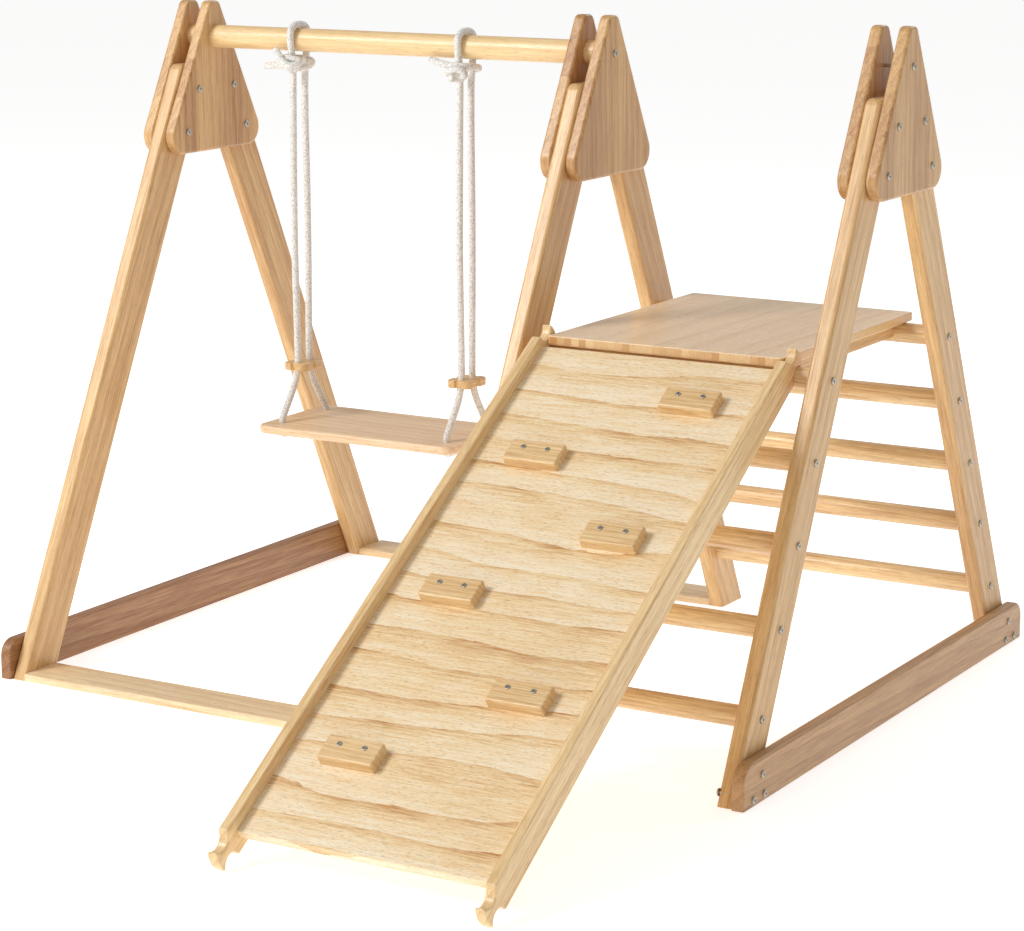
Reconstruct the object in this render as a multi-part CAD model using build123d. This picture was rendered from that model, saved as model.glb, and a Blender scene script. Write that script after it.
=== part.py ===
from build123d import *
import math
import os

# Wooden toddler swing set. Millimetres, +Z up. While it is being laid out, x runs along the
# crossbar from the left A-frame, y = 0 is the plane of the crossbar and z = 0 is the floor.
# At the end everything moves so that the origin is the bottom centre of the whole set.

# ---- A-frames ----
middle_frame_x = 841.0
right_frame_x = 1393.0
leg_thickness = 28.0
leg_width = 80.0
leg_lean_deg = 25.76
leg_meet_rise = 20.0
leg_top_drop = 48.0
leg_edge_round = 6.0
leg_top_round = 18.0
leg_mitre_gap = 0.4

# ---- Edge-glued boards: apex plates and base boards ----
board_thickness = 22.0
plate_drop = 210.0
plate_rise = 65.0
plate_half_bottom = 157.0
plate_side_deg = 27.5
plate_bottom_round = 33.0
plate_top_round = 14.0
plate_edge_round = 5.0
plate_bolt_drops = (93.0, 170.0)
base_board_height = 70.0
base_board_overhang = 5.0
base_board_end_round = 30.0
base_board_edge_round = 4.0
base_bolt_places = ((30.0, 10.5), (69.0, 10.5), (61.0, 44.0))
foot_bolt_place = (13.0, 20.0)

# ---- Floor rails between the left and the middle frame ----
floor_rail_thickness = 13.0
floor_rail_width = 89.0
floor_rail_edge_round = 2.5
floor_rail_dowel_inset = 22.0

# ---- Crossbar and rungs ----
crossbar_height = 1100.0
crossbar_diameter = 42.0
rung_diameter = 35.0
top_rung_height = 617.0
rung_pitch = 123.0
pitched_rungs = 4
bottom_rung_height = 118.0
rung_rear_bolt_depth = 42.0

# ---- Platform ----
play_shift = -4.0
platform_width = 431.0
platform_overhang = 25.0
platform_thickness = 16.0
platform_edge_round = 2.5
platform_corner_round = 4.0
batten_width = 19.0
batten_drop = 24.0
batten_inset = 18.0
batten_screws = 3

# ---- Ramp ----
ramp_hook_spacing = 1125.0
ramp_rail_waist = 17.0
ramp_rail_thickness = 18.0
ramp_rail_edge_round = 3.0
hook_clearance = 0.5
hook_wall = 5.5
hook_end_radius = 43.0
hook_tip_round = 2.0
hook_mouth_round = 4.0
ramp_board_thickness = 16.0
ramp_board_low_face = 18.0
ramp_board_top_gap = 21.0
ramp_board_bottom_gap = 35.0
ramp_board_edge_round = 1.5
ramp_side_gap = 1.0
dowel_diameter = 8.0
dowel_length = 26.0
ramp_dowels_per_side = 4

# ---- Climbing blocks ----
block_width = 97.0
block_height = 46.0
block_thickness = 18.0
block_edge_round = 3.5
block_column_offset = 105.0
block_screw_rows = (118.0, 273.0, 425.0, 579.0, 760.0, 916.0)
block_screw_spacing = 44.0
block_screw_from_top = 17.0

# ---- Swing ----
swing_shift = -20.5
rope_half_spacing = 178.0
rope_diameter = 13.0
seat_width = 420.0
seat_depth = 226.0
seat_thickness = 16.0
seat_top = 400.0
seat_corner_round = 20.0
seat_edge_round = 5.0
seat_hole_y = 72.0
seat_hole_relief = 4.0
spacer_length = 70.0
spacer_width = 50.0
spacer_thickness = 14.0
spacer_corner_round = 14.0
spacer_notch_radius = 6.0
spacer_edge_round = 2.0
spacer_rise = 98.0
spacer_hole_y = 18.5
knot_size = (38.0, 60.0, 28.0)
knot_round = 12.0
knot_drop = 38.0
knot_shift_y = -5.0
knot_tails = {
    "left": (((0.0, -8.0, -8.0), (-69.0, -10.0, -12.0)), ((-6.0, -14.0, 4.0), (-29.0, -30.0, 20.0))),
    "right": (((0.0, -14.0, 0.0), (-60.0, -26.0, 17.0)),),
}
rope_middle_drop = 320.0
rope_bar_gap = 0.3
rope_hole_gap = 0.6
rope_seat_gap = 0.3

# ---- Fasteners ----
bolt_diameter = 6.0
bolt_hole_gap = 0.1
bolt_head_diameter = 13.0
bolt_head_height = 3.0
bolt_far_bite = 10.0
screw_diameter = 4.0
screw_head_diameter = 9.0
screw_head_height = 1.6
batten_screw_length = 34.0
block_screw_length = 30.0

# ---- Sizes that follow from those above ----
lean = math.tan(math.radians(leg_lean_deg))
leg_half_foot = leg_width / 2 / math.cos(math.radians(leg_lean_deg))
foot_half_spread = (crossbar_height + leg_meet_rise) * lean
foot_edge = foot_half_spread + leg_half_foot
leg_top = crossbar_height - leg_top_drop
half_leg = leg_thickness / 2
plate_bottom = crossbar_height - plate_drop
plate_top = crossbar_height + plate_rise
play_centre_x = (middle_frame_x + right_frame_x) / 2 + play_shift
swing_centre_x = middle_frame_x / 2 + swing_shift
rung_radius = rung_diameter / 2
crossbar_radius = crossbar_diameter / 2
rope_radius = rope_diameter / 2
bolt_radius = bolt_diameter / 2
screw_radius = screw_diameter / 2
frame_names = ("left", "middle", "right")
frame_x = {"left": 0.0, "middle": middle_frame_x, "right": right_frame_x}
sides = {"front": -1, "rear": 1}
rung_heights = [top_rung_height - i * rung_pitch for i in range(pitched_rungs)] + [bottom_rung_height]


def leg_centre_y(z):
    """Distance of a leg's centre line from the crossbar's plane at height z."""
    return foot_half_spread - z * lean


def box(x0, x1, y0, y1, z0, z1):
    """A block between two corners."""
    middle = Pos((x0 + x1) / 2, (y0 + y1) / 2, (z0 + z1) / 2)
    return middle * Box(abs(x1 - x0), abs(y1 - y0), abs(z1 - z0))


def rod_x(x0, x1, y, z, radius):
    """A round bar along x."""
    return Pos((x0 + x1) / 2, y, z) * Rot(0, 90, 0) * Cylinder(radius, abs(x1 - x0))


def rod_z(x, y, z0, z1, radius):
    """A round bar along z."""
    return Pos(x, y, (z0 + z1) / 2) * Cylinder(radius, z1 - z0)


def vertex_at(face, x, y):
    """The corner of a flat outline nearest to a point of its plane."""
    return min(face.vertices(), key=lambda v: math.hypot(v.X - x, v.Y - y))


def slab_x(face, x0, thickness):
    """An outline drawn in (y, z), made into a board that starts at x0."""
    return extrude(Plane.YZ.offset(x0) * face, thickness)


def pan_bolt(length, shank_radius, head_radius, head_height):
    """A pan-head cross-recess bolt: its head's underside is at z = 0 and its head points to +z."""
    head = Pos(0, 0, head_height / 2) * Cylinder(head_radius, head_height)
    head = fillet(head.edges().group_by(Axis.Z)[-1], head_height * 0.6)
    arm = head_radius * 1.1
    slot = head_radius * 0.2
    depth = head_height * 0.6
    for turn in (0, 90):
        head -= Pos(0, 0, head_height) * Rot(0, 0, turn) * Box(arm, slot, 2 * depth)
    return head + Pos(0, 0, -length / 2) * Cylinder(shank_radius, length)


def bolt_x(x, y, z, direction, length):
    """A bolt along x: its head bears at x and points along direction."""
    turned = Rot(0, 90 * direction, 0) * pan_bolt(
        length, bolt_radius, bolt_head_diameter / 2, bolt_head_height
    )
    return Pos(x, y, z) * turned


def bolt_hole_x(x, y, z, direction, length):
    """The hole that such a bolt's shank fills."""
    return rod_x(x, x - direction * length, y, z, bolt_radius + bolt_hole_gap)


# ---- Where every bolt goes: (x of the bearing face, y, z, direction of the head, length) ----
plate_reach = half_leg + board_thickness
plate_bolt_length = board_thickness + leg_thickness + bolt_far_bite
rung_bolt_length = leg_thickness + rung_rear_bolt_depth
base_bolt_length = board_thickness + half_leg - 1.0
foot_bolt_length = leg_thickness + bolt_far_bite
plate_bolts = []
for name, head_side in (("left", 1), ("middle", -1), ("right", 1)):
    for z in (crossbar_height - drop for drop in plate_bolt_drops):
        for side in sides.values():
            place = (frame_x[name] + head_side * plate_reach, side * leg_centre_y(z), z)
            plate_bolts.append((*place, head_side, plate_bolt_length))
crossbar_bolts = [
    (-plate_reach, 0.0, crossbar_height, -1, rung_bolt_length),
    (middle_frame_x + plate_reach, 0.0, crossbar_height, 1, rung_bolt_length),
    (right_frame_x + plate_reach, 0.0, crossbar_height, 1, plate_bolt_length),
]
rung_bolts = []
for z in rung_heights:
    for side in sides.values():
        y = side * leg_centre_y(z)
        rung_bolts.append((middle_frame_x - half_leg, y, z, -1, rung_bolt_length))
        rung_bolts.append((right_frame_x + half_leg, y, z, 1, rung_bolt_length))
base_bolts = []
for name, direction in (("left", -1), ("right", 1)):
    for inset, z in base_bolt_places:
        for side in sides.values():
            place = (frame_x[name] + direction * plate_reach, side * (foot_edge - inset), z)
            base_bolts.append((*place, direction, base_bolt_length))
foot_bolts = []
for side in sides.values():
    inset, z = foot_bolt_place
    foot_bolts.append((right_frame_x - half_leg, side * (foot_edge - inset), z, -1, foot_bolt_length))
all_bolts = plate_bolts + crossbar_bolts + rung_bolts + base_bolts + foot_bolts


def drilled(solid):
    """A wooden piece with a hole for every bolt whose shank runs through it."""
    bounds = solid.bounding_box()
    for x, y, z, direction, length in all_bolts:
        near = min(x, x - direction * length)
        far = max(x, x - direction * length)
        crosses = near < bounds.max.X and far > bounds.min.X
        crosses = crosses and bounds.min.Y < y + bolt_radius and y - bolt_radius < bounds.max.Y
        crosses = crosses and bounds.min.Z < z + bolt_radius and z - bolt_radius < bounds.max.Z
        if crosses:
            solid = solid - bolt_hole_x(x, y, z, direction, length)
    return solid


# ---- A-frame pieces ----
def leg(name, side):
    """A leaning leg: foot cut level, top cut level and mitred where it meets its partner."""
    outer = foot_edge
    inner = foot_half_spread - leg_half_foot
    mitre = leg_mitre_gap / 2
    outline = make_face(
        Polyline(
            (side * outer, 0),
            (side * inner, 0),
            (side * mitre, (inner - mitre) / lean),
            (side * mitre, leg_top),
            (side * (outer - leg_top * lean), leg_top),
            close=True,
        )
    )
    corner = vertex_at(outline, side * (outer - leg_top * lean), leg_top)
    outline = fillet(corner, leg_top_round)
    bar = slab_x(outline, frame_x[name] - half_leg, leg_thickness)
    along = Vector(0, -side * math.sin(math.radians(leg_lean_deg)), math.cos(math.radians(leg_lean_deg)))
    long_edges = [
        e for e in bar.edges() if e.length > leg_top / 2 and abs(e.tangent_at(0.5).dot(along)) > 0.99
    ]
    bar = fillet(long_edges, leg_edge_round)
    if name != "right":
        for hole in floor_rail_dowel_solids(side, bolt_hole_gap):
            bar -= hole
    return drilled(bar)


def plate_outline():
    """The tall blunt triangle that joins the two legs of a frame."""
    rise = plate_top - plate_bottom
    half_top = plate_half_bottom - rise * math.tan(math.radians(plate_side_deg))
    outline = make_face(
        Polyline(
            (-plate_half_bottom, plate_bottom),
            (plate_half_bottom, plate_bottom),
            (half_top, plate_top),
            (-half_top, plate_top),
            close=True,
        )
    )
    top_round = min(plate_top_round, half_top)
    for y, z, radius in (
        (-plate_half_bottom, plate_bottom, plate_bottom_round),
        (plate_half_bottom, plate_bottom, plate_bottom_round),
        (half_top, plate_top, top_round),
        (-half_top, plate_top, top_round),
    ):
        outline = fillet(vertex_at(outline, y, z), radius)
    return outline


def plate(x0, crossbar_passes):
    """One apex plate, with a hole where the crossbar goes through it."""
    board = slab_x(plate_outline(), x0, board_thickness)
    rims = board.faces().filter_by(Axis.X).edges()
    board = fillet(rims, plate_edge_round)
    if crossbar_passes:
        board -= rod_x(x0, x0 + board_thickness, 0, crossbar_height, crossbar_radius + bolt_hole_gap)
    return drilled(board)


def base_board(x0):
    """The board on edge that joins the two feet of an end frame on its outer side."""
    half = foot_edge + base_board_overhang
    outline = make_face(
        Polyline((-half, 0), (half, 0), (half, base_board_height), (-half, base_board_height), close=True)
    )
    for end in (-half, half):
        outline = fillet(vertex_at(outline, end, base_board_height), base_board_end_round)
    board = slab_x(outline, x0, board_thickness)
    rims = [e for e in board.faces().filter_by(Axis.X).edges() if e.center().Z > 1]
    return drilled(fillet(rims, base_board_edge_round))


def floor_rail(side):
    """A thin board lying on the floor between the feet of two frames."""
    x0 = half_leg
    x1 = middle_frame_x - half_leg
    rail = box(x0, x1, side * foot_edge, side * (foot_edge - floor_rail_width), 0, floor_rail_thickness)
    top_edges = rail.edges().filter_by(Axis.X).group_by(Axis.Z)[-1]
    rail = fillet(top_edges, floor_rail_edge_round)
    for hole in floor_rail_dowel_solids(side, bolt_hole_gap):
        rail -= hole
    return rail


def floor_rail_dowel_solids(side, extra):
    """Two dowels at each end of a floor rail, half in the rail and half in the leg."""
    radius = dowel_diameter / 2 + extra
    length = dowel_length + 2 * extra
    pegs = []
    for face_x in (half_leg, middle_frame_x - half_leg):
        for inset in (floor_rail_dowel_inset, floor_rail_width - floor_rail_dowel_inset):
            y = side * (foot_edge - inset)
            pegs.append(rod_x(face_x - length / 2, face_x + length / 2, y, floor_rail_thickness / 2, radius))
    return pegs


def rung(z, side):
    """A round rung between the middle and the right frame."""
    y = side * leg_centre_y(z)
    bar = rod_x(middle_frame_x + half_leg, right_frame_x - half_leg, y, z, rung_radius)
    return drilled(bar)


# ---- Platform ----
platform_bottom = top_rung_height + rung_radius + 0.3
platform_top = platform_bottom + platform_thickness
top_rung_y = leg_centre_y(top_rung_height)
platform_depth = 2 * (top_rung_y + platform_overhang)
batten_offset = platform_width / 2 - batten_inset - batten_width / 2


def batten_screw_places():
    """Screws down through the platform's battens from below, so none shows on top."""
    inner = top_rung_y - rung_radius - 25.0
    step = 2 * inner / (batten_screws - 1)
    places = []
    for offset in (-batten_offset, batten_offset):
        for i in range(batten_screws):
            places.append((play_centre_x + offset, -inner + i * step))
    return places


def batten_screw(x, y):
    """One of those screws, with its head under the batten."""
    turned = Rot(180, 0, 0) * pan_bolt(
        batten_screw_length, screw_radius, screw_head_diameter / 2, screw_head_height
    )
    return Pos(x, y, platform_bottom - batten_drop) * turned


def batten_screw_hole(x, y):
    """The hole for the shank of one of those screws."""
    low = platform_bottom - batten_drop
    return rod_z(x, y, low, low + batten_screw_length, screw_radius + bolt_hole_gap)


def platform_board():
    """The deck that lies across the two top rungs."""
    board = box(
        play_centre_x - platform_width / 2,
        play_centre_x + platform_width / 2,
        -platform_depth / 2,
        platform_depth / 2,
        platform_bottom,
        platform_top,
    )
    board = fillet(board.edges().filter_by(Axis.Z), platform_corner_round)
    board = fillet(board.faces().filter_by(Axis.Z).edges(), platform_edge_round)
    for x, y in batten_screw_places():
        board -= batten_screw_hole(x, y)
    return board


def platform_batten(offset):
    """A batten under the deck: its hollowed ends fit inside both top rungs and stop it sliding."""
    x0 = play_centre_x + offset - batten_width / 2
    x1 = x0 + batten_width
    low = platform_bottom - batten_drop
    bar = box(x0, x1, -top_rung_y, top_rung_y, low, platform_bottom)
    for side in (-1, 1):
        y = side * top_rung_y
        inner = side * (top_rung_y - rung_radius - hook_clearance)
        bar -= rod_x(x0 - 1, x1 + 1, y, top_rung_height, rung_radius + hook_clearance)
        bar -= box(x0 - 1, x1 + 1, inner, y, low - 1, top_rung_height)
    for x, y in batten_screw_places():
        bar -= batten_screw_hole(x, y)
    return bar


# ---- Ramp: drawn with y up the slope and z square to it, zero at the centre of the top rung ----
hook_radius = rung_radius + hook_clearance
hook_reach = hook_radius + hook_wall
ramp_rail_width = 2 * hook_radius + ramp_rail_waist
rail_mid = ramp_rail_width / 2
hook_centres = (0.0, -ramp_hook_spacing)


def hook_tip():
    """Where the rounded end of a rail meets the edge of its hook notch, out from the notch."""
    arc_centre = hook_reach - hook_end_radius
    inward = 0.0
    for _ in range(60):
        out = math.sqrt(max(hook_radius**2 - inward**2, 0))
        inward = rail_mid - math.sqrt(hook_end_radius**2 - (out - arc_centre) ** 2)
    return out, inward


tip_out, tip_in = hook_tip()


def ramp_slope_deg():
    """The slope at which the lower hook tips just stand on the floor."""
    run = ramp_hook_spacing + tip_out
    height = top_rung_height
    return math.degrees(math.asin(height / math.hypot(run, tip_in)) + math.atan2(tip_in, run))


def ramp_rail_outline():
    """A rail with an anchor-shaped hook at each end, the same both ways up."""
    y_high = hook_reach
    y_low = -ramp_hook_spacing - hook_reach
    outline = make_face(
        Polyline((y_low, 0), (y_high, 0), (y_high, ramp_rail_width), (y_low, ramp_rail_width), close=True)
    )
    reach = 2 * hook_end_radius
    for y_end, sign in ((y_high, 1), (y_low, -1)):
        centre = y_end - sign * hook_end_radius
        keep = Pos(centre, rail_mid) * Circle(hook_end_radius)
        keep += Pos(centre - sign * (ramp_hook_spacing + reach) / 2, rail_mid) * Rectangle(
            ramp_hook_spacing + reach, reach
        )
        outline = outline & keep
    for y in hook_centres:
        for z in (0, ramp_rail_width):
            outline -= Pos(y, z) * Circle(hook_radius)
    return outline.faces()[0]


def ramp_rail(x0):
    """One side rail of the ramp."""
    outline = ramp_rail_outline()
    for y, sign in ((0.0, 1), (-ramp_hook_spacing, -1)):
        for z, inward in ((0, tip_in), (ramp_rail_width, ramp_rail_width - tip_in)):
            outline = fillet(vertex_at(outline, y + sign * tip_out, inward), hook_tip_round)
            outline = fillet(vertex_at(outline, y - sign * hook_radius, z), hook_mouth_round)
    rail = slab_x(outline, x0, ramp_rail_thickness)
    rims = rail.faces().filter_by(Axis.X).edges()
    rail = fillet(rims, ramp_rail_edge_round)
    for peg in ramp_dowel_solids(bolt_hole_gap):
        rail -= peg
    return rail


ramp_inner_half = platform_width / 2 + ramp_side_gap
ramp_board_high = -ramp_board_top_gap
ramp_board_low = -ramp_hook_spacing + ramp_board_bottom_gap
ramp_board_top_face = ramp_board_low_face + ramp_board_thickness


def ramp_dowel_solids(extra):
    """Dowels that join the ramp's board to its rails."""
    step = (ramp_board_high - ramp_board_low) / ramp_dowels_per_side
    length = dowel_length + 2 * extra
    shift = dowel_length / 2 - (ramp_rail_thickness - 6.0)
    pegs = []
    for side in (-1, 1):
        x = side * (ramp_inner_half - shift)
        for i in range(ramp_dowels_per_side):
            y = ramp_board_low + (i + 0.5) * step
            z = ramp_board_low_face + ramp_board_thickness / 2
            pegs.append(rod_x(x - length / 2, x + length / 2, y, z, dowel_diameter / 2 + extra))
    return pegs


def block_places():
    """Centre of the two screws of every climbing block, from the lowest to the highest."""
    places = []
    for i, row in enumerate(reversed(block_screw_rows)):
        column = -1 if i % 2 == 0 else 1
        places.append((column * block_column_offset, -row))
    return places


def block_screw_solids(x, y, extra):
    """The two screws of one block, or their holes when extra is more than zero."""
    pair = []
    top = ramp_board_top_face + block_thickness
    for side in (-1, 1):
        place = Pos(x + side * block_screw_spacing / 2, y, top)
        if extra:
            pair.append(place * Pos(0, 0, -block_screw_length / 2) * Cylinder(screw_radius + extra, block_screw_length))
        else:
            pair.append(
                place * pan_bolt(block_screw_length, screw_radius, screw_head_diameter / 2, screw_head_height)
            )
    return pair


def ramp_board():
    """The walking board between the rails."""
    board = box(
        -ramp_inner_half,
        ramp_inner_half,
        ramp_board_low,
        ramp_board_high,
        ramp_board_low_face,
        ramp_board_top_face,
    )
    board = fillet(board.edges().filter_by(Axis.X), ramp_board_edge_round)
    for peg in ramp_dowel_solids(bolt_hole_gap):
        board -= peg
    for x, y in block_places():
        for hole in block_screw_solids(x, y, bolt_hole_gap):
            board -= hole
    return board


def climbing_block(x, y):
    """A hand and foot hold, rounded on its outer edges."""
    high = y + block_screw_from_top
    block = box(
        x - block_width / 2,
        x + block_width / 2,
        high - block_height,
        high,
        ramp_board_top_face,
        ramp_board_top_face + block_thickness,
    )
    block = fillet(block.edges().filter_by(Axis.Z), block_edge_round)
    block = fillet(block.faces().sort_by(Axis.Z)[-1].edges(), block_edge_round)
    for hole in block_screw_solids(x, y, bolt_hole_gap):
        block -= hole
    return block


def on_slope(solid):
    """Moves a ramp piece from the drawing to its place on the top front rung."""
    return Pos(play_centre_x, -top_rung_y, top_rung_height) * Rot(ramp_slope_deg(), 0, 0) * solid


# ---- Swing ----
bar_wrap = crossbar_radius + rope_bar_gap + rope_radius
under_seat = seat_top - seat_thickness - rope_seat_gap - rope_radius
knot_z = crossbar_height - knot_drop
spacer_top = seat_top + spacer_rise + spacer_thickness / 2
spacer_bottom = spacer_top - spacer_thickness
rope_middle = crossbar_height - rope_middle_drop
seat_bend = seat_top + 8.0
arc_gap = 0.4

# The rope's route as (y, z, bend radius): from the knot over the bar, down behind, through the
# spacer, under the seat and up again in front, back into the knot.
rope_route = (
    (-19.0, knot_z - 2.0, 0),
    (-bar_wrap, crossbar_height - 12.0, 28.0),
    (-bar_wrap, crossbar_height + bar_wrap, bar_wrap - arc_gap),
    (bar_wrap, crossbar_height + bar_wrap, bar_wrap - arc_gap),
    (bar_wrap, crossbar_height - 10.0, 30.0),
    (15.0, knot_z - 20.0, 60.0),
    (21.0, rope_middle, 900.0),
    (spacer_hole_y, spacer_top + 40.0, 300.0),
    (spacer_hole_y, spacer_bottom - 9.0, 32.0),
    (seat_hole_y, seat_bend, 28.0),
    (seat_hole_y, under_seat, rope_diameter),
    (-seat_hole_y, under_seat, rope_diameter),
    (-seat_hole_y, seat_bend, 28.0),
    (-spacer_hole_y, spacer_bottom - 9.0, 32.0),
    (-spacer_hole_y, spacer_top + 40.0, 300.0),
    (-26.0, rope_middle, 900.0),
    (-20.0, knot_z - 10.0, 0),
)


def rope_path(x):
    """The centre line of one rope, in the plane of its loop."""
    points = [(x, y, z) for y, z, radius in rope_route]
    radii = [radius for y, z, radius in rope_route[1:-1]]
    return FilletPolyline(*points, radius=radii)


def rope_tube(x, radius):
    """A round rope along that line."""
    path = rope_path(x)
    section = Plane(path @ 0, z_dir=path % 0) * Circle(radius)
    return sweep(section, path=path)


def knot(x, tails):
    """The overhand knot under the bar, as a rounded lump with the rope's cut ends."""
    width, depth, height = knot_size
    lump = Pos(x, knot_shift_y, knot_z) * Box(width, depth, height)
    lump = fillet(lump.edges(), knot_round)
    for start, end in tails:
        line = Vector(*end) - Vector(*start)
        tail = Plane(Vector(*start) + Vector(x, 0, knot_z), z_dir=line) * Circle(rope_radius)
        tail = extrude(tail, line.length)
        tail = fillet(tail.faces().sort_by(Axis.X)[0].edges(), 2.0)
        lump += tail
    return lump - rope_tube(x, rope_radius + 0.05)


def swing_seat():
    """The flat seat board with four rope holes."""
    board = Pos(swing_centre_x, 0, seat_top - seat_thickness / 2) * Box(seat_width, seat_depth, seat_thickness)
    board = fillet(board.edges().filter_by(Axis.Z), seat_corner_round)
    board = fillet(board.faces().filter_by(Axis.Z).edges(), seat_edge_round)
    radius = rope_radius + rope_hole_gap
    low = seat_top - seat_thickness
    for x in (swing_centre_x - rope_half_spacing, swing_centre_x + rope_half_spacing):
        for y in (-seat_hole_y, seat_hole_y):
            board -= rod_z(x, y, low - 1, seat_top + 1, radius)
            board -= Pos(x, y, low + seat_hole_relief / 2) * Cone(
                radius + seat_hole_relief, radius, seat_hole_relief
            )
    return board


def rope_spacer(x):
    """The four-lobed spacer that spreads the two strands of a rope."""
    half_y = spacer_length / 2
    half_x = spacer_width / 2
    outline = RectangleRounded(spacer_width, spacer_length, spacer_corner_round)
    for px, py in ((half_x, 0), (-half_x, 0), (0, half_y), (0, -half_y)):
        outline -= Pos(px, py) * Circle(spacer_notch_radius)
    disc = extrude(Pos(x, 0, spacer_bottom) * outline, spacer_thickness)
    disc = fillet(disc.faces().filter_by(Axis.Z).edges(), spacer_edge_round)
    for y in (-spacer_hole_y, spacer_hole_y):
        disc -= rod_z(x, y, spacer_bottom - 1, spacer_top + 1, rope_radius + rope_hole_gap)
    return disc


# ---- Everything, by name ----
parts = {}
for frame_name in frame_names:
    for side_name, side in sides.items():
        parts[f"leg_{frame_name}_{side_name}"] = leg(frame_name, side)
for frame_name in frame_names:
    x = frame_x[frame_name]
    parts[f"plate_{frame_name}_a"] = plate(x - plate_reach, frame_name == "middle")
    parts[f"plate_{frame_name}_b"] = plate(x + half_leg, frame_name == "left")
parts["base_board_left"] = base_board(-plate_reach)
parts["base_board_right"] = base_board(right_frame_x + half_leg)
for side_name, side in sides.items():
    parts[f"floor_rail_{side_name}"] = floor_rail(side)
parts["crossbar"] = drilled(
    rod_x(-half_leg, middle_frame_x + half_leg, 0, crossbar_height, crossbar_radius)
)
for side_name, side in sides.items():
    for number, z in enumerate(rung_heights, start=1):
        parts[f"rung_{side_name}_{number}"] = rung(z, side)

parts["platform_board"] = platform_board()
parts["platform_batten_left"] = platform_batten(-batten_offset)
parts["platform_batten_right"] = platform_batten(batten_offset)

parts["ramp_board"] = on_slope(ramp_board())
parts["ramp_rail_left"] = on_slope(ramp_rail(-ramp_inner_half - ramp_rail_thickness))
parts["ramp_rail_right"] = on_slope(ramp_rail(ramp_inner_half))
for number, (x, y) in enumerate(block_places(), start=1):
    parts[f"climbing_block_{number}"] = on_slope(climbing_block(x, y))

parts["swing_seat"] = swing_seat()
for rope_name, direction in (("left", -1), ("right", 1)):
    x = swing_centre_x + direction * rope_half_spacing
    parts[f"swing_spacer_{rope_name}"] = rope_spacer(x)
    parts[f"swing_rope_{rope_name}"] = rope_tube(x, rope_radius)
    tails = knot_tails[rope_name]
    parts[f"swing_knot_{rope_name}"] = knot(x, tails)

# ---- Fasteners, one node for each kind and place ----
parts["plate_bolts"] = Compound([bolt_x(*place) for place in plate_bolts])
parts["crossbar_bolts"] = Compound([bolt_x(*place) for place in crossbar_bolts])
parts["rung_bolts"] = Compound([bolt_x(*place) for place in rung_bolts])
parts["base_board_bolts"] = Compound([bolt_x(*place) for place in base_bolts])
parts["foot_bolts"] = Compound([bolt_x(*place) for place in foot_bolts])
parts["floor_rail_dowels"] = Compound(
    [peg for side in sides.values() for peg in floor_rail_dowel_solids(side, 0)]
)
parts["ramp_dowels"] = on_slope(Compound(ramp_dowel_solids(0)))
parts["climbing_block_screws"] = on_slope(
    Compound([screw for x, y in block_places() for screw in block_screw_solids(x, y, 0)])
)
parts["batten_screws"] = Compound([batten_screw(x, y) for x, y in batten_screw_places()])

# ---- Origin at the bottom centre of everything, then one file for each part ----
whole = Compound(list(parts.values())).bounding_box()
origin = Vector((whole.min.X + whole.max.X) / 2, (whole.min.Y + whole.max.Y) / 2, whole.min.Z)
print("origin in the drawing:", round(origin.X, 3), round(origin.Y, 3), round(origin.Z, 3))
print("size:", round(whole.size.X, 1), round(whole.size.Y, 1), round(whole.size.Z, 1))
print("ramp slope:", round(ramp_slope_deg(), 3), "hook tip:", round(tip_out, 2), round(tip_in, 2))
print("leg centre at the top rung:", round(top_rung_y, 2))
route = rope_path(swing_centre_x + rope_half_spacing)
print("rope length:", round(route.length, 2), "bend radii:", [row[2] for row in rope_route[1:-1]])
rope_volume = parts["swing_rope_left"].volume / (math.pi * rope_radius**2 * route.length)
print("rope volume against section times length:", round(rope_volume, 5))

os.makedirs("parts", exist_ok=True)
for part_name, solid in parts.items():
    placed = Pos(-origin.X, -origin.Y, -origin.Z) * solid
    export_step(placed, f"parts/{part_name}.step")
    size = placed.bounding_box().size
    print(part_name, round(size.X, 1), round(size.Y, 1), round(size.Z, 1), round(solid.volume / 1000, 1))
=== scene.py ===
import math

import bpy
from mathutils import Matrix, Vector


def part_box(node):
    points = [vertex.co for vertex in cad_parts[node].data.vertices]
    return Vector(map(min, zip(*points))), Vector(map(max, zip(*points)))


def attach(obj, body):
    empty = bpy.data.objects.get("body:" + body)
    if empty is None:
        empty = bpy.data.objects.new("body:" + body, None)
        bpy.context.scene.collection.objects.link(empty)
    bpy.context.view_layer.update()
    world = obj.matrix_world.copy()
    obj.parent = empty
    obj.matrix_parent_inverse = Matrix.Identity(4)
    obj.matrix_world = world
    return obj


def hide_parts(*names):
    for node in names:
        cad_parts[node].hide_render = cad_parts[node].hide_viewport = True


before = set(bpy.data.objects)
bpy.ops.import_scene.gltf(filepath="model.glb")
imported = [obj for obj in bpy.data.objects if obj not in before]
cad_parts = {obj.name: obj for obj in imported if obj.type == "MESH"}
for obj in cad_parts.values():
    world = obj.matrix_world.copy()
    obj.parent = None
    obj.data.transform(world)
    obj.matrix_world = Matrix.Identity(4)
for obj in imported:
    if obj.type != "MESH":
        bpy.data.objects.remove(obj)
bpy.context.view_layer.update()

# Everything below is in metres. Places are worked out in the set's own drawing frame (x along the
# crossbar from the left A-frame, y = 0 under the crossbar, z = 0 the floor), and put() moves
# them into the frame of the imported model.

HALF_LEG = 0.014
LEG_LEAN = math.radians(25.76)
bar_low, bar_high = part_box("crossbar")
drawing_origin = Vector((bar_low.x + HALF_LEG, (bar_low.y + bar_high.y) / 2, 0))


def put(x, y, z):
    """A place in the drawing frame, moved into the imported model's frame."""
    return drawing_origin + Vector((x, y, z))


# ---------------------------------------------------------------- camera


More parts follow.
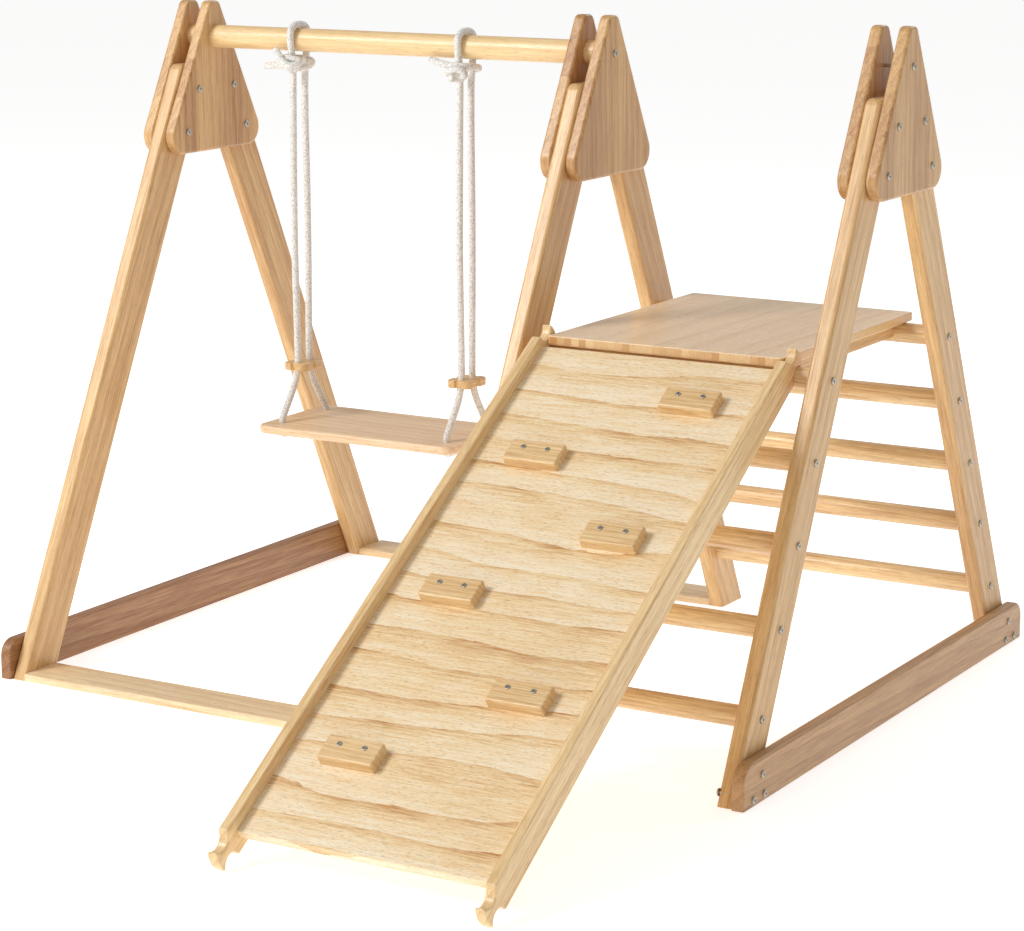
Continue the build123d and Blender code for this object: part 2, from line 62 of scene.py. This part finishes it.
SENSOR_WIDTH = 36.0
FOCAL_LENGTH = 105.0
FAR_LIMIT = 100.0
CAMERA_PLACE = (3.3285, -4.5463, 1.4924)
CAMERA_AIM = Vector((-0.4929, 0.8437, -0.2113))


def add_camera():
    data = bpy.data.cameras.new("camera")
    data.sensor_width = SENSOR_WIDTH
    data.lens = FOCAL_LENGTH
    data.clip_end = FAR_LIMIT
    camera = bpy.data.objects.new("camera", data)
    camera.location = put(*CAMERA_PLACE)
    camera.rotation_euler = CAMERA_AIM.to_track_quat("-Z", "Y").to_euler()
    bpy.context.scene.collection.objects.link(camera)
    bpy.context.scene.camera = camera


add_camera()


# ---------------------------------------------------------------- cords

seat_low, seat_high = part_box("swing_seat")
swing_x = (seat_low.x + seat_high.x) / 2 - drawing_origin.x
ROPE_HALF_SPACING = 0.178
ROPE_DIAMETER = 0.013
KNOT_ROPE_DIAMETER = 0.0128
KNOT_Z = 1.062
RING_STEP = 0.0010
CURVE_RESOLUTION = 24

# The route of one rope as (y, z): out of the knot, over the bar, down behind, through the spacer,
# under the seat and up again in front, back into the knot.
ROPE_ROUTE = (
    (-0.0190, 1.0600),
    (-0.0278, 1.0880),
    (-0.0278, 1.1278),
    (0.0278, 1.1278),
    (0.0278, 1.0900),
    (0.0150, 1.0420),
    (0.0210, 0.7800),
    (0.0185, 0.5450),
    (0.0185, 0.4820),
    (0.0640, 0.4190),
    (0.0720, 0.4080),
    (0.0720, 0.3900),
    (0.0720, 0.3772),
    (0.0580, 0.3772),
    (0.0000, 0.3770),
    (-0.0580, 0.3772),
    (-0.0720, 0.3772),
    (-0.0720, 0.3900),
    (-0.0720, 0.4080),
    (-0.0640, 0.4190),
    (-0.0185, 0.4820),
    (-0.0185, 0.5450),
    (-0.0260, 0.7800),
    (-0.0200, 1.0520),
)


def smooth_points(name, controls):
    """The points of a smooth line through space that these control points guide."""
    curve = bpy.data.curves.new(name, "CURVE")
    curve.dimensions = "3D"
    curve.resolution_u = CURVE_RESOLUTION
    spline = curve.splines.new("NURBS")
    spline.points.add(len(controls) - 1)
    for point, place in zip(spline.points, controls):
        point.co = (*place, 1.0)
    spline.order_u = 3
    spline.use_endpoint_u = True
    carrier = bpy.data.objects.new(name, curve)
    bpy.context.scene.collection.objects.link(carrier)
    bpy.context.view_layer.update()
    line = bpy.data.meshes.new_from_object(carrier)
    points = [vertex.co.copy() for vertex in line.vertices]
    bpy.data.objects.remove(carrier)
    bpy.data.curves.remove(curve)
    bpy.data.meshes.remove(line)
    return points


def evenly(points, step):
    """The same line with points a fixed step apart, and its length."""
    lengths = [0.0]
    for a, b in zip(points, points[1:]):
        lengths.append(lengths[-1] + (b - a).length)
    total = lengths[-1]
    count = max(2, round(total / step))
    result = []
    k = 0
    for i in range(count + 1):
        at = total * i / count
        while k < len(points) - 2 and lengths[k + 1] < at:
            k += 1
        span = max(lengths[k + 1] - lengths[k], 1e-9)
        result.append(points[k].lerp(points[k + 1], min(1.0, (at - lengths[k]) / span)))
    return result, total


# The braid: strands round the rope, the rope's length per crossing, and how deep the grooves are.
STRANDS = 8
BRAID_PITCH = 0.0051
BRAID_DEPTH = 0.00055
# A ring of the mesh has this many points. The cut ends draw in to this share, over this length.
AROUND = 48
END_SHARE = 0.80
END_LENGTH = 0.002


def braid_height(turn, along):
    """How high the braid stands at a place on the rope, 0 in a groove to 1 on a strand."""
    u = turn * STRANDS + along / BRAID_PITCH
    v = turn * STRANDS - along / BRAID_PITCH
    cell_u = math.floor(u)
    cell_v = math.floor(v)
    across, lengthwise = u - cell_u, v - cell_v
    if (cell_u + cell_v) % 2:
        across, lengthwise = lengthwise, across
    return math.sqrt(math.sin(math.pi * across)) * (0.62 + 0.38 * math.sin(math.pi * lengthwise))


def braided_rope(name, points, diameter):
    """A braided rope along a line, with cut ends that are slightly rounded, and its length."""
    line, total = evenly(points, RING_STEP)
    rings = len(line)
    radius = diameter / 2
    side = Vector((1, 0, 0)) if abs((line[1] - line[0]).normalized().x) < 0.8 else Vector((0, 1, 0))
    vertices = []
    grooves = []
    for i, place in enumerate(line):
        ahead = (line[min(i + 1, rings - 1)] - line[max(i - 1, 0)]).normalized()
        side = (side - ahead * side.dot(ahead)).normalized()
        other = ahead.cross(side)
        along = total * i / (rings - 1)
        to_end = min(along, total - along)
        taper = END_SHARE + (1 - END_SHARE) * min(1.0, to_end / END_LENGTH) ** 0.5
        for j in range(AROUND):
            turn = j / AROUND
            height = braid_height(turn, along)
            reach = (radius - BRAID_DEPTH * (1 - height)) * taper
            angle = 2 * math.pi * turn
            vertices.append(place + side * (reach * math.cos(angle)) + other * (reach * math.sin(angle)))
            grooves.append(height)
    faces = []
    for i in range(rings - 1):
        for j in range(AROUND):
            k = (j + 1) % AROUND
            faces.append((i * AROUND + j, i * AROUND + k, (i + 1) * AROUND + k, (i + 1) * AROUND + j))
    for first, centre, flip in ((0, line[0], True), ((rings - 1) * AROUND, line[-1], False)):
        middle = len(vertices)
        vertices.append(centre)
        grooves.append(0.5)
        for j in range(AROUND):
            k = (j + 1) % AROUND
            pair = (first + k, first + j) if flip else (first + j, first + k)
            faces.append((*pair, middle))
    mesh = bpy.data.meshes.new(name)
    mesh.from_pydata(vertices, [], faces)
    # The braid height also tells the rope material where the grooves are, and it paints shade there.
    mesh.attributes.new("braid", "FLOAT", "POINT").data.foreach_set("value", grooves)
    for polygon in mesh.polygons:
        polygon.use_smooth = True
    piece = bpy.data.objects.new(name, mesh)
    bpy.context.scene.collection.objects.link(piece)
    return piece, total


# Each knot is the rope itself, wound round both strands under the bar: (x, y, z) from its middle.
LEFT_KNOT = (
    (-0.0690, -0.0100, -0.0120),
    (-0.0450, -0.0140, -0.0090),
    (-0.0240, -0.0230, -0.0070),
    (-0.0020, -0.0350, -0.0110),
    (0.0180, -0.0250, -0.0120),
    (0.0220, 0.0040, -0.0080),
    (0.0130, 0.0260, -0.0020),
    (-0.0060, 0.0270, 0.0020),
    (-0.0190, 0.0100, 0.0040),
    (-0.0200, -0.0120, 0.0060),
    (-0.0100, -0.0310, 0.0070),
    (0.0080, -0.0350, 0.0060),
    (0.0210, -0.0260, 0.0020),
    (0.0200, -0.0360, -0.0050),
    (0.0080, -0.0450, -0.0060),
    (-0.0070, -0.0450, 0.0020),
    (-0.0180, -0.0390, 0.0120),
    (-0.0300, -0.0320, 0.0210),
)
RIGHT_KNOT = (
    (-0.0600, -0.0260, 0.0170),
    (-0.0420, -0.0260, 0.0110),
    (-0.0200, -0.0270, 0.0070),
    (0.0020, -0.0350, 0.0070),
    (0.0190, -0.0240, 0.0060),
    (0.0220, 0.0040, 0.0030),
    (0.0120, 0.0260, -0.0010),
    (-0.0070, 0.0270, -0.0040),
    (-0.0210, 0.0110, -0.0070),
    (-0.0240, -0.0130, -0.0090),
    (-0.0190, -0.0340, -0.0060),
    (-0.0040, -0.0440, 0.0010),
    (0.0140, -0.0420, 0.0010),
    (0.0210, -0.0360, -0.0070),
    (0.0130, -0.0360, -0.0150),
    (0.0030, -0.0460, -0.0150),
    (0.0010, -0.0560, -0.0130),
)


def add_rope(which, rope_x, knot_route):
    """One rope and its knot, in place of the two CAD nodes, as a cord that swings with the seat."""
    controls = [put(rope_x, y, z) for y, z in ROPE_ROUTE]
    points = smooth_points("rope_line_" + which, controls)
    rope, length = braided_rope("rope_" + which, points, ROPE_DIAMETER)
    knot_controls = [put(rope_x + x, y, KNOT_Z + z) for x, y, z in knot_route]
    knot_points = smooth_points("knot_line_" + which, knot_controls)
    knot = braided_rope("knot_" + which, knot_points, KNOT_ROPE_DIAMETER)[0]
    for piece in (rope, knot):
        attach(piece, "swing")
    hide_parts("swing_rope_" + which)
    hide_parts("swing_knot_" + which)
    return [rope, knot]


rope_pieces = add_rope("left", swing_x - ROPE_HALF_SPACING, LEFT_KNOT)
rope_pieces += add_rope("right", swing_x + ROPE_HALF_SPACING, RIGHT_KNOT)


# ---------------------------------------------------------------- materials


def linear(red, green, blue):
    """A screen colour, 0 to 255, as the linear colour that shaders use."""
    result = []
    for value in (red, green, blue):
        value /= 255
        result.append(value / 12.92 if value <= 0.04045 else ((value + 0.055) / 1.055) ** 2.4)
    return (*result, 1.0)


DECK_LIGHT = linear(248, 218, 180)
DECK_DARK = linear(208, 158, 108)
LEG_LIGHT = linear(236, 198, 140)
LEG_DARK = linear(172, 114, 54)
PLATE_LIGHT = linear(222, 180, 122)
PLATE_DARK = linear(158, 102, 52)
BOARD_LIGHT = linear(208, 164, 112)
BOARD_DARK = linear(142, 92, 50)
PALE_LIGHT = linear(247, 217, 165)
PALE_DARK = linear(198, 142, 76)
BAR_DARK = linear(222, 180, 122)
RAIL_LIGHT = linear(250, 226, 184)
RAIL_DARK = linear(206, 156, 96)
PORE_BROWN = linear(132, 84, 42)

# How fine each pattern in wood is: along the grain, then across it. Larger is finer.
FIGURE = (0.045, 1.0, 1.0)
BROAD_TONE = (1.2, 16.0, 16.0)
FIBRES = (11.0, 330.0, 330.0)
PORES = (48.0, 640.0, 640.0)
WOOD_BUMP = 0.00012
DECK_STAVE = 0.06
PLATE_STAVE = 0.036
EDGE_STRIP = 0.0137

UPRIGHT = (0, 0, 1)
ACROSS = (1, 0, 0)
BACKWARD = (0, 1, 0)


class Nodes:
    """A short way to write a material's node tree, new or carried on."""

    def __init__(self, name, material=None):
        self.material = material or bpy.data.materials.new(name)
        self.material.use_nodes = True
        self.tree = self.material.node_tree
        self.shader = self.tree.nodes["Principled BSDF"]

    def add(self, kind, inputs=None, **settings):
        node = self.tree.nodes.new("ShaderNode" + kind)
        for key, value in settings.items():
            setattr(node, key, value)
        for key, value in (inputs or {}).items():
            self.put(node.inputs[key], value)
        return node

    def put(self, socket, value):
        if isinstance(value, bpy.types.NodeSocket):
            self.tree.links.new(value, socket)
        else:
            socket.default_value = value

    def math(self, operation, a, b=0.0):
        return self.add("Math", {0: a, 1: b}, operation=operation).outputs[0]

    def mix(self, factor, a, b):
        node = self.add("Mix", data_type="RGBA")
        self.put(node.inputs[0], factor)
        self.put(node.inputs[6], a)
        self.put(node.inputs[7], b)
        return node.outputs[2]

    def noise(self, vector, scale, detail=2.0, rough=0.5):
        inputs = {"Vector": vector, "Scale": scale, "Detail": detail, "Roughness": rough}
        return self.add("TexNoise", inputs).outputs[0]

    def band(self, value, low, high, to_low=0.0, to_high=1.0):
        inputs = {0: value, 1: low, 2: high, 3: to_low, 4: to_high}
        return self.add("MapRange", inputs).outputs[0]

    def stretch(self, vector, scale):
        return self.add("Mapping", {"Vector": vector, "Scale": scale}).outputs[0]

    def bump(self, height, distance):
        inputs = {"Height": height, "Strength": 1.0, "Distance": distance}
        self.put(self.shader.inputs["Normal"], self.add("Bump", inputs).outputs[0])


def grain_space(nodes, along, seed):
    """The piece's own coordinates, turned so that x runs along the grain."""
    turn = Vector(along).to_track_quat("X", "Z").inverted().to_euler()
    place = nodes.add("TexCoord").outputs["Object"]
    shift = (0.37 * seed, 0.61 * seed, 0.23 * seed)
    inputs = {"Vector": place, "Rotation": turn, "Location": shift}
    return nodes.add("Mapping", inputs).outputs[0]


def varnish(nodes, roughness, height):
    """A thin satin coat over wood whose fibres can still be felt."""
    nodes.put(nodes.shader.inputs["Roughness"], roughness)
    nodes.shader.inputs["Coat Weight"].default_value = 0.25
    nodes.shader.inputs["Coat Roughness"].default_value = 0.22
    nodes.shader.inputs["IOR"].default_value = 1.48
    nodes.bump(height, WOOD_BUMP)


def solid_wood(name, along, seed, light, dark, staves=None, ring=0.009, tone=0.5, spread=0.28):
    """Varnished light hardwood: growth rings, broad tones, fibres and pores along the grain."""
    nodes = Nodes(name)
    space = grain_space(nodes, along, seed)
    shade = tone
    if staves:
        axis, width = staves
        parts = nodes.add("SeparateXYZ", {0: nodes.add("TexCoord").outputs["Object"]})
        number = nodes.math("FLOOR", nodes.math("DIVIDE", parts.outputs[axis], width))
        number = nodes.math("ADD", number, 11.0 * seed)
        chance = nodes.add("TexWhiteNoise", {"W": number}, noise_dimensions="1D")
        thrice = {0: chance.outputs["Color"], 1: (3.0, 3.0, 3.0)}
        moved = nodes.add("VectorMath", thrice, operation="MULTIPLY")
        space = nodes.add("VectorMath", {0: space, 1: moved.outputs[0]}, operation="ADD").outputs[0]
        shade = nodes.band(chance.outputs["Value"], 0.0, 1.0, tone - spread, tone + spread)
    rings = nodes.add(
        "TexWave",
        {
            "Vector": nodes.stretch(space, FIGURE),
            "Scale": 2 * math.pi / (20 * ring),
            "Distortion": 3.2,
            "Detail": 3.0,
            "Detail Scale": 0.25,
            "Detail Roughness": 0.6,
        },
        wave_type="BANDS",
        bands_direction="DIAGONAL",
        wave_profile="SAW",
    ).outputs[1]
    broad = nodes.noise(nodes.stretch(space, BROAD_TONE), 1.0, 3.0, 0.55)
    fibres = nodes.noise(nodes.stretch(space, FIBRES), 1.0, 4.0, 0.7)
    pores = nodes.noise(nodes.stretch(space, PORES), 1.0, 1.0, 0.5)
    pores = nodes.band(pores, 0.58, 0.70)
    mix = nodes.math("MULTIPLY", nodes.math("POWER", rings, 1.6), 0.24)
    mix = nodes.math("ADD", mix, nodes.band(broad, 0.3, 0.7, -0.15, 0.15))
    mix = nodes.math("ADD", mix, nodes.band(fibres, 0.3, 0.7, -0.26, 0.26))
    mix = nodes.math("ADD", mix, nodes.math("SUBTRACT", shade, 0.12))
    ramp = nodes.add("ValToRGB", {0: mix})
    ramp.color_ramp.elements[0].position = 0.05
    ramp.color_ramp.elements[0].color = light
    ramp.color_ramp.elements[1].position = 0.95
    ramp.color_ramp.elements[1].color = dark
    colour = nodes.mix(nodes.math("MULTIPLY", pores, 0.26), ramp.outputs[0], PORE_BROWN)
    nodes.put(nodes.shader.inputs["Base Color"], colour)
    height = nodes.math("SUBTRACT", fibres, nodes.math("MULTIPLY", pores, 0.8))
    varnish(nodes, nodes.band(fibres, 0.3, 0.7, 0.36, 0.46), height)
    return nodes.material


def ramp_board_wood(name, seed):
    """Rotary cut face veneer: broad bands across the board, each ending in a wavy brown line."""
    nodes = Nodes(name)
    space = grain_space(nodes, ACROSS, seed)
    swirl = nodes.noise(nodes.stretch(space, (1.3, 4.0, 4.0)), 1.0, 2.0, 0.5)
    ripple = nodes.noise(nodes.stretch(space, (9.0, 26.0, 26.0)), 1.0, 3.0, 0.55)
    jagged = nodes.noise(nodes.stretch(space, (60.0, 240.0, 240.0)), 1.0, 2.0, 0.6)
    parts = nodes.add("SeparateXYZ", {0: space})
    slope = nodes.math("ADD", parts.outputs[1], nodes.math("MULTIPLY", parts.outputs[2], 0.65))
    slope = nodes.math("ADD", slope, nodes.math("MULTIPLY", swirl, 0.20))
    slope = nodes.math("ADD", slope, nodes.math("MULTIPLY", ripple, 0.020))
    slope = nodes.math("ADD", slope, nodes.math("MULTIPLY", jagged, 0.004))
    wide = nodes.math("FRACT", nodes.math("MULTIPLY", slope, 14.0))
    narrow = nodes.math("FRACT", nodes.math("MULTIPLY", slope, 37.0))
    tone = nodes.noise(nodes.stretch(space, (1.5, 9.0, 9.0)), 1.0, 2.0, 0.5)
    patch = nodes.noise(nodes.stretch(space, (5.0, 14.0, 14.0)), 1.0, 2.0, 0.5)
    fibres = nodes.noise(nodes.stretch(space, (16.0, 330.0, 330.0)), 1.0, 4.0, 0.7)
    specks = nodes.noise(nodes.stretch(space, (110.0, 640.0, 640.0)), 1.0, 1.0, 0.5)
    strength = nodes.band(patch, 0.36, 0.60, 0.12, 0.50)
    line = nodes.math("MULTIPLY", nodes.math("POWER", wide, 5.0), strength)
    line = nodes.math("ADD", line, nodes.math("MULTIPLY", nodes.math("POWER", narrow, 4.0), 0.10))
    mix = nodes.math("MULTIPLY", line, nodes.band(fibres, 0.30, 0.62, 0.55, 1.10))
    mix = nodes.math("ADD", mix, nodes.math("MULTIPLY", wide, 0.17))
    mix = nodes.math("ADD", mix, nodes.band(fibres, 0.3, 0.7, -0.22, 0.30))
    mix = nodes.math("ADD", mix, nodes.band(tone, 0.3, 0.7, -0.10, 0.20))
    ramp = nodes.add("ValToRGB", {0: mix})
    ramp.color_ramp.elements[0].position = 0.0
    ramp.color_ramp.elements[0].color = linear(250, 233, 202)
    ramp.color_ramp.elements[1].position = 0.95
    ramp.color_ramp.elements[1].color = linear(190, 128, 62)
    middle = ramp.color_ramp.elements.new(0.35)
    middle.color = linear(241, 209, 158)
    dots = nodes.math("MULTIPLY", nodes.band(specks, 0.56, 0.70), 0.34)
    colour = nodes.mix(dots, ramp.outputs[0], linear(160, 108, 56))
    nodes.put(nodes.shader.inputs["Base Color"], colour)
    varnish(nodes, nodes.band(fibres, 0.3, 0.7, 0.42, 0.52), fibres)
    return nodes.material


def deck_wood(name):
    """The deck: smooth pinkish staves on top, and narrow golden strips of uneven tone on the edges."""
    staves = ("X", DECK_STAVE)
    look = {"staves": staves, "ring": 0.03, "tone": 0.16, "spread": 0.09}
    deck = solid_wood(name, BACKWARD, 41, DECK_LIGHT, DECK_DARK, **look)
    nodes = Nodes(name, deck)
    top_colour = nodes.shader.inputs["Base Color"].links[0].from_socket
    place = nodes.add("TexCoord").outputs["Object"]
    sideways = nodes.add("SeparateXYZ", {0: place}).outputs["X"]
    number = nodes.math("FLOOR", nodes.math("DIVIDE", sideways, EDGE_STRIP))
    strip = nodes.add("TexWhiteNoise", {"W": number}, noise_dimensions="1D")
    pores = nodes.noise(place, 520.0, 2.0, 0.6)
    edge = nodes.mix(strip.outputs["Value"], linear(238, 202, 146), linear(206, 152, 90))
    edge = nodes.mix(nodes.band(pores, 0.5, 0.7, 0.0, 0.35), edge, linear(170, 116, 62))
    normal = nodes.add("SeparateXYZ", {0: nodes.add("NewGeometry").outputs["True Normal"]})
    upward = nodes.math("ABSOLUTE", normal.outputs["Z"])
    colour = nodes.mix(nodes.band(upward, 0.35, 0.6), edge, top_colour)
    nodes.put(nodes.shader.inputs["Base Color"], colour)
    nodes.shader.inputs["Coat Weight"].default_value = 0.35
    nodes.shader.inputs["Coat Roughness"].default_value = 0.20
    return deck


def zinc(name):
    """Zinc plated steel: dull, with faint turning marks and darker cloudy blotches."""
    nodes = Nodes(name)
    place = nodes.add("TexCoord").outputs["Object"]
    cloud = nodes.noise(place, 900.0, 2.0, 0.6)
    marks = nodes.noise(place, 5200.0, 1.0, 0.5)
    colour = nodes.mix(nodes.band(cloud, 0.35, 0.7), linear(206, 202, 190), linear(150, 145, 134))
    nodes.put(nodes.shader.inputs["Base Color"], colour)
    nodes.put(nodes.shader.inputs["Roughness"], nodes.band(marks, 0.3, 0.7, 0.26, 0.44))
    nodes.shader.inputs["Metallic"].default_value = 1.0
    nodes.bump(marks, 0.00003)
    return nodes.material


def rope_fabric(name):
    """White braided cord with grey flecks and fine yarns, with painted shade darkening the grooves
    between the strands.
    """
    nodes = Nodes(name)
    place = nodes.add("TexCoord").outputs["Object"]
    braid = nodes.add("Attribute", attribute_name="braid").outputs["Fac"]
    yarn = nodes.noise(place, 1900.0, 2.0, 0.6)
    fleck = nodes.add("TexVoronoi", {"Vector": place, "Scale": 620.0}, feature="F1")
    chosen = nodes.add("SeparateColor", {0: fleck.outputs["Color"]}).outputs[0]
    spot = nodes.math("MULTIPLY", nodes.band(chosen, 0.70, 0.76), nodes.band(braid, 0.35, 0.7))
    # Painted shade: the colour is darkened in the grooves between the strands, where shade falls.
    groove_shade = nodes.band(braid, 0.0, 0.75, 1.0, 0.0)
    colour = nodes.mix(nodes.band(yarn, 0.3, 0.7), linear(246, 244, 240), linear(228, 224, 217))
    colour = nodes.mix(nodes.math("MULTIPLY", groove_shade, 0.50), colour, linear(176, 168, 158))
    colour = nodes.mix(nodes.math("MULTIPLY", spot, 0.60), colour, linear(140, 130, 120))
    nodes.put(nodes.shader.inputs["Base Color"], colour)
    nodes.shader.inputs["Roughness"].default_value = 0.85
    nodes.shader.inputs["Sheen Weight"].default_value = 0.25
    nodes.shader.inputs["Sheen Roughness"].default_value = 0.5
    nodes.bump(yarn, 0.0002)
    return nodes.material


def dress(node, material):
    """Gives a CAD node its material."""
    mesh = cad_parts[node].data
    mesh.materials.clear()
    mesh.materials.append(material)


rail_low, rail_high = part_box("ramp_rail_left")
UP_SLOPE = (0, 1, (rail_high.z - rail_low.z) / (rail_high.y - rail_low.y))

seed = 0
for frame_name in ("left", "middle", "right"):
    for side_name, side in (("front", -1), ("rear", 1)):
        seed += 1
        along = (0, -side * math.sin(LEG_LEAN), math.cos(LEG_LEAN))
        leg = "leg_" + frame_name + "_" + side_name
        tone = 0.38 + 0.03 * (seed % 3)
        dress(leg, solid_wood(leg, along, seed, LEG_LIGHT, LEG_DARK, ring=0.012, tone=tone))
    for plate_side in ("a", "b"):
        seed += 1
        plate = "plate_" + frame_name + "_" + plate_side
        look = {"staves": ("Y", PLATE_STAVE), "ring": 0.010, "tone": 0.5}
        dress(plate, solid_wood(plate, UPRIGHT, seed, PLATE_LIGHT, PLATE_DARK, **look))
for board, tone in (("base_board_left", 0.8), ("base_board_right", 0.36)):
    seed += 1
    dress(board, solid_wood(board, BACKWARD, seed, BOARD_LIGHT, BOARD_DARK, ring=0.014, tone=tone))
for board in ("floor_rail_front", "floor_rail_rear"):
    seed += 1
    dress(board, solid_wood(board, ACROSS, seed, RAIL_LIGHT, RAIL_DARK, ring=0.014, tone=0.35))
dress("crossbar", solid_wood("crossbar", ACROSS, 31, PALE_LIGHT, BAR_DARK, ring=0.010, tone=0.45))
for side_name in ("front", "rear"):
    for number in range(1, 6):
        seed += 1
        rung = "rung_" + side_name + "_" + str(number)
        dress(rung, solid_wood(rung, ACROSS, seed, PALE_LIGHT, LEG_DARK, ring=0.008, tone=0.35))
dress("platform_board", deck_wood("platform_deck"))
for batten in ("platform_batten_left", "platform_batten_right"):
    dress(batten, solid_wood(batten, BACKWARD, 43, LEG_LIGHT, LEG_DARK, tone=0.4))
dress("ramp_board", ramp_board_wood("ramp_board", 3.1))
for rail in ("ramp_rail_left", "ramp_rail_right"):
    seed += 1
    dress(rail, solid_wood(rail, UP_SLOPE, seed, PALE_LIGHT, PALE_DARK, ring=0.010, tone=0.38))
for number in range(1, 7):
    seed += 1
    block = "climbing_block_" + str(number)
    dress(block, solid_wood(block, ACROSS, seed, PALE_LIGHT, PALE_DARK, ring=0.007, tone=0.42))
dress("swing_seat", solid_wood("swing_seat", ACROSS, 71, DECK_LIGHT, DECK_DARK, ring=0.013, tone=0.35))
for spacer in ("swing_spacer_left", "swing_spacer_right"):
    dress(spacer, solid_wood(spacer, BACKWARD, 73, LEG_LIGHT, LEG_DARK, ring=0.009, tone=0.35))
steel = zinc("zinc_steel")
for fasteners in (
    "plate_bolts",
    "crossbar_bolts",
    "rung_bolts",
    "base_board_bolts",
    "foot_bolts",
    "batten_screws",
    "climbing_block_screws",
):
    dress(fasteners, steel)
peg_wood = solid_wood("dowel_wood", ACROSS, 79, PALE_LIGHT, PALE_DARK, tone=0.3)
dress("floor_rail_dowels", peg_wood)
dress("ramp_dowels", peg_wood)
rope_material = rope_fabric("rope_fabric")
for piece in rope_pieces:
    piece.data.materials.append(rope_material)


# ---------------------------------------------------------------- floor and light


FLOOR_HALF = 30.0
FLOOR_GLOW = 0.58
WORLD_LIGHT = 0.40
WORLD_SEEN = 1.0


def add_floor():
    mesh = bpy.data.meshes.new("floor")
    half = FLOOR_HALF
    corners = [(-half, -half, 0), (half, -half, 0), (half, half, 0), (-half, half, 0)]
    mesh.from_pydata(corners, [], [(0, 1, 2, 3)])
    floor = bpy.data.objects.new("floor", mesh)
    bpy.context.scene.collection.objects.link(floor)
    nodes = Nodes("floor_paint")
    nodes.shader.inputs["Base Color"].default_value = (0.93, 0.93, 0.93, 1)
    nodes.shader.inputs["Roughness"].default_value = 0.9
    nodes.shader.inputs["Specular IOR Level"].default_value = 0.0
    nodes.shader.inputs["Emission Color"].default_value = (1, 1, 1, 1)
    nodes.shader.inputs["Emission Strength"].default_value = FLOOR_GLOW
    mesh.materials.append(nodes.material)


def add_light(name, place, size, power):
    """A round soft light that faces the middle of the set."""
    data = bpy.data.lights.new(name, "AREA")
    data.shape = "DISK"
    data.size = size
    data.energy = power
    light = bpy.data.objects.new(name, data)
    light.location = place
    aim = Vector((0, 0, 0.5)) - light.location
    light.rotation_euler = aim.to_track_quat("-Z", "Y").to_euler()
    bpy.context.scene.collection.objects.link(light)


def add_world():
    world = bpy.data.worlds.new("studio")
    world.use_nodes = True
    background = world.node_tree.nodes["Background"]
    background.inputs["Color"].default_value = (1.0, 0.995, 0.985, 1)
    # Seen directly the background is as pale as the floor, and as a light it is soft.
    seen = world.node_tree.nodes.new("ShaderNodeLightPath").outputs["Is Camera Ray"]
    level = world.node_tree.nodes.new("ShaderNodeMapRange")
    level.inputs[3].default_value = WORLD_LIGHT
    level.inputs[4].default_value = WORLD_SEEN
    world.node_tree.links.new(seen, level.inputs[0])
    world.node_tree.links.new(level.outputs[0], background.inputs["Strength"])
    bpy.context.scene.world = world


add_floor()
add_world()
add_light("key", (-3.2, -4.2, 4.4), 2.6, 262)
add_light("fill", (4.5, -3.0, 3.0), 3.5, 5)
add_light("back", (0.5, 4.5, 4.0), 3.0, 60)
bpy.context.scene.view_settings.view_transform = "Standard"
bpy.context.scene.view_settings.look = "None"
